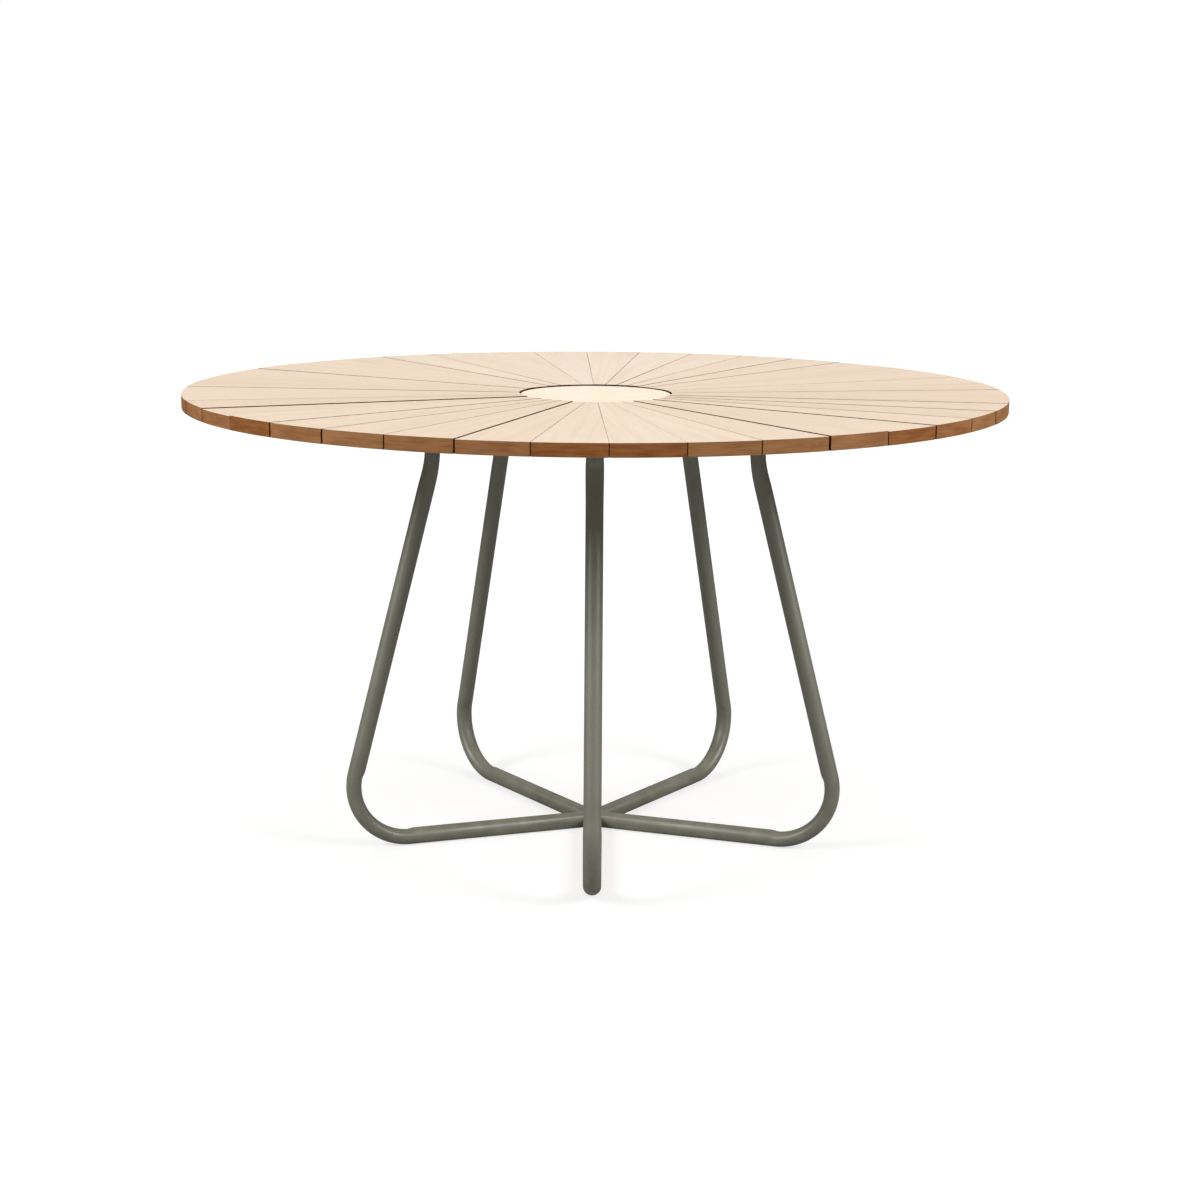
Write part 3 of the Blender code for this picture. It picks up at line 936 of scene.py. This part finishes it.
def make_plate_welds(material, stub_radius):
    """A bead round each leg where it meets its plate."""
    underside = level_heights("plate_front")[0]
    bm = bmesh.new()
    points = []
    for angle in round_angles(PLATE_BEAD_STEPS):
        x, y = polar(TUBE_RADIUS, angle)
        height = underside - fall(stub_radius + x) - PLATE_BEAD / 2
        points.append(Vector((stub_radius + x, y, height)))
    sweep_bead(bm, points, PLATE_BEAD, Vector((0, 0, 1)), closed=True)
    add_at_legs("weld_plate", finish_mesh(bm, "weld_plate", SHARP_ANGLE_WELD), material)


def make_arm_welds(material, start, end):
    """A bead across each end of each arm, under the ring that it meets."""
    height = level_heights("inner_ring")[0]
    width = ARM_WIDTH - 2 * ARM_CORNER
    bm = bmesh.new()
    for x in (start, end):
        points = [Vector((x, -width / 2 + width * i / ARM_BEAD_STEPS, height))
                  for i in range(ARM_BEAD_STEPS + 1)]
        sweep_bead(bm, points, ARM_BEAD, Vector((0, 0, 1)))
    settle(bm)
    add_at_legs("weld_arm", finish_mesh(bm, "weld_arm", SHARP_ANGLE_WELD), material)


# Fasteners

def loose_object(name, bm):
    """An object that only helps to make a mesh."""
    bmesh.ops.recalc_face_normals(bm, faces=bm.faces)
    return add_object(name, to_mesh(bm, name))


def baked(item, helpers):
    """The mesh of an object with its modifiers, after which the object and its cutters go."""
    bpy.context.view_layer.update()
    depsgraph = bpy.context.evaluated_depsgraph_get()
    mesh = bpy.data.meshes.new_from_object(item.evaluated_get(depsgraph))
    for helper in [item, *helpers]:
        bpy.data.objects.remove(helper, do_unlink=True)
    return shade(mesh, SHARP_ANGLE_SCREW)


def screw_head_mesh():
    """A pan head, hanging below z = 0, with a cross recess."""
    bm = bmesh.new()
    profile = [(SCREW_HEAD_RADIUS * SCREW_SEAT, 0.0)]
    for i in range(SCREW_HEAD_STEPS + 1):
        angle = math.radians(SCREW_EDGE_ANGLE + (90 - SCREW_EDGE_ANGLE) * i / SCREW_HEAD_STEPS)
        profile.append((SCREW_HEAD_RADIUS * math.cos(angle) ** SCREW_ROUNDNESS[0],
                        -SCREW_HEAD_HEIGHT * math.sin(angle) ** SCREW_ROUNDNESS[1]))
    profile[-1] = (SCREW_HEAD_RADIUS * SCREW_MIDDLE, -SCREW_HEAD_HEIGHT)
    turn_profile(bm, profile, SCREW_HEAD_SIDES)
    head = loose_object("screw_head", bm)
    bm = bmesh.new()
    mouth = -SCREW_HEAD_HEIGHT * RECESS_START
    bottom = mouth + SCREW_HEAD_HEIGHT * RECESS_DEPTH
    for turn in (0.0, math.pi / 2):
        loops = []
        for z, (length, width) in ((mouth, RECESS_MOUTH), (bottom, RECESS_BOTTOM)):
            corners = [turned(x_side * length / 2, y_side * width / 2, turn)
                       for x_side, y_side in ((-1, -1), (1, -1), (1, 1), (-1, 1))]
            loops.append([bm.verts.new((*corner, z)) for corner in corners])
        skin_solid(bm, loops)
    recess = loose_object("cross_recess", bm)
    cut = head.modifiers.new("recess", "BOOLEAN")
    cut.operation = "DIFFERENCE"
    cut.solver = "EXACT"
    cut.use_self = True
    cut.object = recess
    return baked(head, [recess])


def bolt_head_mesh():
    """A hexagon head on a washer, hanging below z = 0."""
    bm = bmesh.new()
    washer = WASHER_THICKNESS
    turn_profile(bm, [(WASHER_RADIUS - WASHER_EASE, 0.0), (WASHER_RADIUS, -WASHER_EASE),
                      (WASHER_RADIUS, WASHER_EASE - washer),
                      (WASHER_RADIUS - WASHER_EASE, -washer)], BOLT_SIDES)
    loops = []
    for height, at_crown in ((washer, False), (washer + BOLT_HEAD_HEIGHT * BOLT_SHOULDER, False),
                             (washer + BOLT_HEAD_HEIGHT, True)):
        loop = []
        for angle in round_angles(BOLT_SIDES):
            from_flat = (angle + math.pi / 6) % (math.pi / 3) - math.pi / 6
            radius = BOLT_FLATS / 2 / math.cos(from_flat)
            if at_crown:
                radius = min(radius, BOLT_FLATS / 2 * BOLT_CROWN)
            loop.append(bm.verts.new((*polar(radius, angle), -height)))
        loops.append(loop)
    skin_solid(bm, loops)
    return finish_mesh(bm, "bolt_head", SHARP_ANGLE_BOLT)


def copies(name, mesh, places):
    """One mesh with a turned copy of another at each place."""
    bm = bmesh.new()
    for place, turn in places:
        copy = mesh.copy()
        copy.transform(Matrix.Translation(place) @ Matrix.Rotation(turn, 4, "Z"))
        bm.from_mesh(copy)
        bpy.data.meshes.remove(copy)
    return to_mesh(bm, name)


def screw_circle(node):
    """Distance of a ring's screws from the axis: on the middle of what lies under the slats."""
    inside, outside = reach(node)
    return (max(inside, HOLE) + outside) / 2


def make_screws(material, slat_angle):
    """Two wood screws up into each slat, through the two rings."""
    draw = random.Random(SEED + 1)
    head = screw_head_mesh()
    for node in ("inner_ring", "outer_ring"):
        radius = screw_circle(node)
        height = level_heights(node)[0] - fall(radius)
        places = []
        for i in range(SLAT_COUNT):
            x, y = polar(radius, slat_angle + SLAT_PITCH * i)
            places.append((Vector((x, y, height)), draw.uniform(0, math.pi)))
        add_piece(f"screws_{node}", copies(f"screws_{node}", head, places), material,
                  weighted=False)


def make_bolts(material, stub_radius):
    """Two bolts up through each plate into its arm."""
    head = bolt_head_mesh()
    underside = level_heights("plate_front")[0]
    for k, name in enumerate(LEG_NAMES):
        places = []
        for side in (-1, 1):
            radius = stub_radius + side * BOLT_SPACING / 2
            places.append((Vector((radius, 0.0, underside - fall(radius))), BOLT_TURN * k + side))
        add_piece(f"bolts_{name}", copies(f"bolts_{name}", head, places), material,
                  angle=LEG_ANGLES[name], weighted=False)


# Stage, light and camera

def make_floor():
    """A pale floor that keeps the table's shadow and reads as white to the camera."""
    bm = bmesh.new()
    size = FLOOR_SIZE / 2
    bm.faces.new([bm.verts.new((x, y, 0.0)) for x, y in
                  ((-size, -size), (size, -size), (size, size), (-size, size))])
    mesh = to_mesh(bm, "floor")
    floor = add_object("floor", mesh)
    material = bpy.data.materials.new("floor")
    material.use_nodes = True
    tree = material.node_tree
    tree.nodes.clear()
    place = position(tree)
    tone = mix(tree, noise_of(tree, place, FLOOR_CLOUDS, 3), *FLOOR_TONES)
    matte = add_node(tree, "ShaderNodeBsdfDiffuse", {"Color": tone})
    seen = add_node(tree, "ShaderNodeLightPath").outputs["Is Camera Ray"]
    away = add_node(tree, "ShaderNodeVectorMath", {0: place}, operation="LENGTH").outputs["Value"]
    glow_there = remap(tree, away, FLOOR_GLOW_REACH, FAR_FLOOR_GLOW_REACH, FLOOR_GLOW,
                       FAR_FLOOR_GLOW)
    glow = add_node(tree, "ShaderNodeEmission",
                    {"Color": WHITE, "Strength": times(tree, seen, glow_there)})
    shown = add_node(tree, "ShaderNodeAddShader", {0: matte.outputs[0], 1: glow.outputs[0]})
    output = add_node(tree, "ShaderNodeOutputMaterial")
    tree.links.new(shown.outputs[0], output.inputs["Surface"])
    mesh.materials.append(material)


def make_world():
    """Soft light, stronger from overhead than from the sides; the camera sees plain white."""
    world = bpy.data.worlds.new("studio")
    bpy.context.scene.world = world
    world.use_nodes = True
    tree = world.node_tree
    tree.nodes.clear()
    path = add_node(tree, "ShaderNodeLightPath")
    seen = math_of(tree, "ADD", path.outputs["Is Camera Ray"],
                   path.outputs["Is Transmission Ray"], True)
    direction = add_node(tree, "ShaderNodeTexCoord").outputs["Generated"]
    upward = add_node(tree, "ShaderNodeSeparateXYZ", {0: direction}).outputs["Z"]
    light = remap(tree, upward, 0.0, OVERHEAD_RISE, HORIZON_LIGHT, OVERHEAD_LIGHT, "LINEAR")
    strength = mix_value(tree, seen, light, 1.0)
    back = add_node(tree, "ShaderNodeBackground", {"Color": WHITE, "Strength": strength})
    output = add_node(tree, "ShaderNodeOutputWorld")
    tree.links.new(back.outputs[0], output.inputs["Surface"])


def add_lamp(name, place, aim, size, power):
    """A square soft box, aimed at a point."""
    lamp = bpy.data.lights.new(name, "AREA")
    lamp.size = size
    lamp.energy = power
    item = add_object(name, lamp)
    item.location = place
    item.rotation_euler = (Vector(aim) - Vector(place)).to_track_quat("-Z", "Y").to_euler()


def make_camera():
    """The photograph's viewpoint."""
    camera = bpy.data.cameras.new("camera")
    camera.sensor_width = CAMERA_SENSOR
    camera.lens = CAMERA_LENS
    camera.clip_end = CAMERA_REACH
    item = add_object("camera", camera)
    item.matrix_world = (Matrix.Translation(CAMERA_PLACE)
                         @ Matrix.Rotation(CAMERA_HEADING, 4, "Z")
                         @ Matrix.Rotation(math.pi / 2 - CAMERA_PITCH, 4, "X")
                         @ Matrix.Rotation(CAMERA_ROLL, 4, "Z"))
    bpy.context.scene.camera = item


def build():
    """Make everything, from the top down."""
    bpy.context.scene.view_settings.view_transform = "Standard"
    plastic = make_plastic()
    zinc = make_zinc()
    leg_paint = make_paint("leg_paint", LEG_PAINT_A, LEG_PAINT_B, LEG_PAINT_ROUGHNESS)
    wheel_paint = make_paint("wheel_paint", WHEEL_PAINT_A, WHEEL_PAINT_B, WHEEL_PAINT_ROUGHNESS)

    make_slats(make_wood())
    make_disc(make_stone())
    dress_gasket(make_rubber())
    make_steel_ring("inner_ring", wheel_paint)
    make_steel_ring("outer_ring", wheel_paint)
    for name in LEG_NAMES:
        arm_start, arm_end = make_arm(name, wheel_paint, plastic)
        stub_radius = make_plate(name, leg_paint)
    make_legs(leg_paint, stub_radius)
    make_hub_weld(leg_paint)
    make_plate_welds(leg_paint, stub_radius)
    make_arm_welds(wheel_paint, arm_start, arm_end)
    make_screws(zinc, direction_of("slat_01"))
    make_bolts(zinc, stub_radius)

    make_floor()
    make_world()
    for lamp in LAMPS:
        add_lamp(*lamp)
    make_camera()


build()
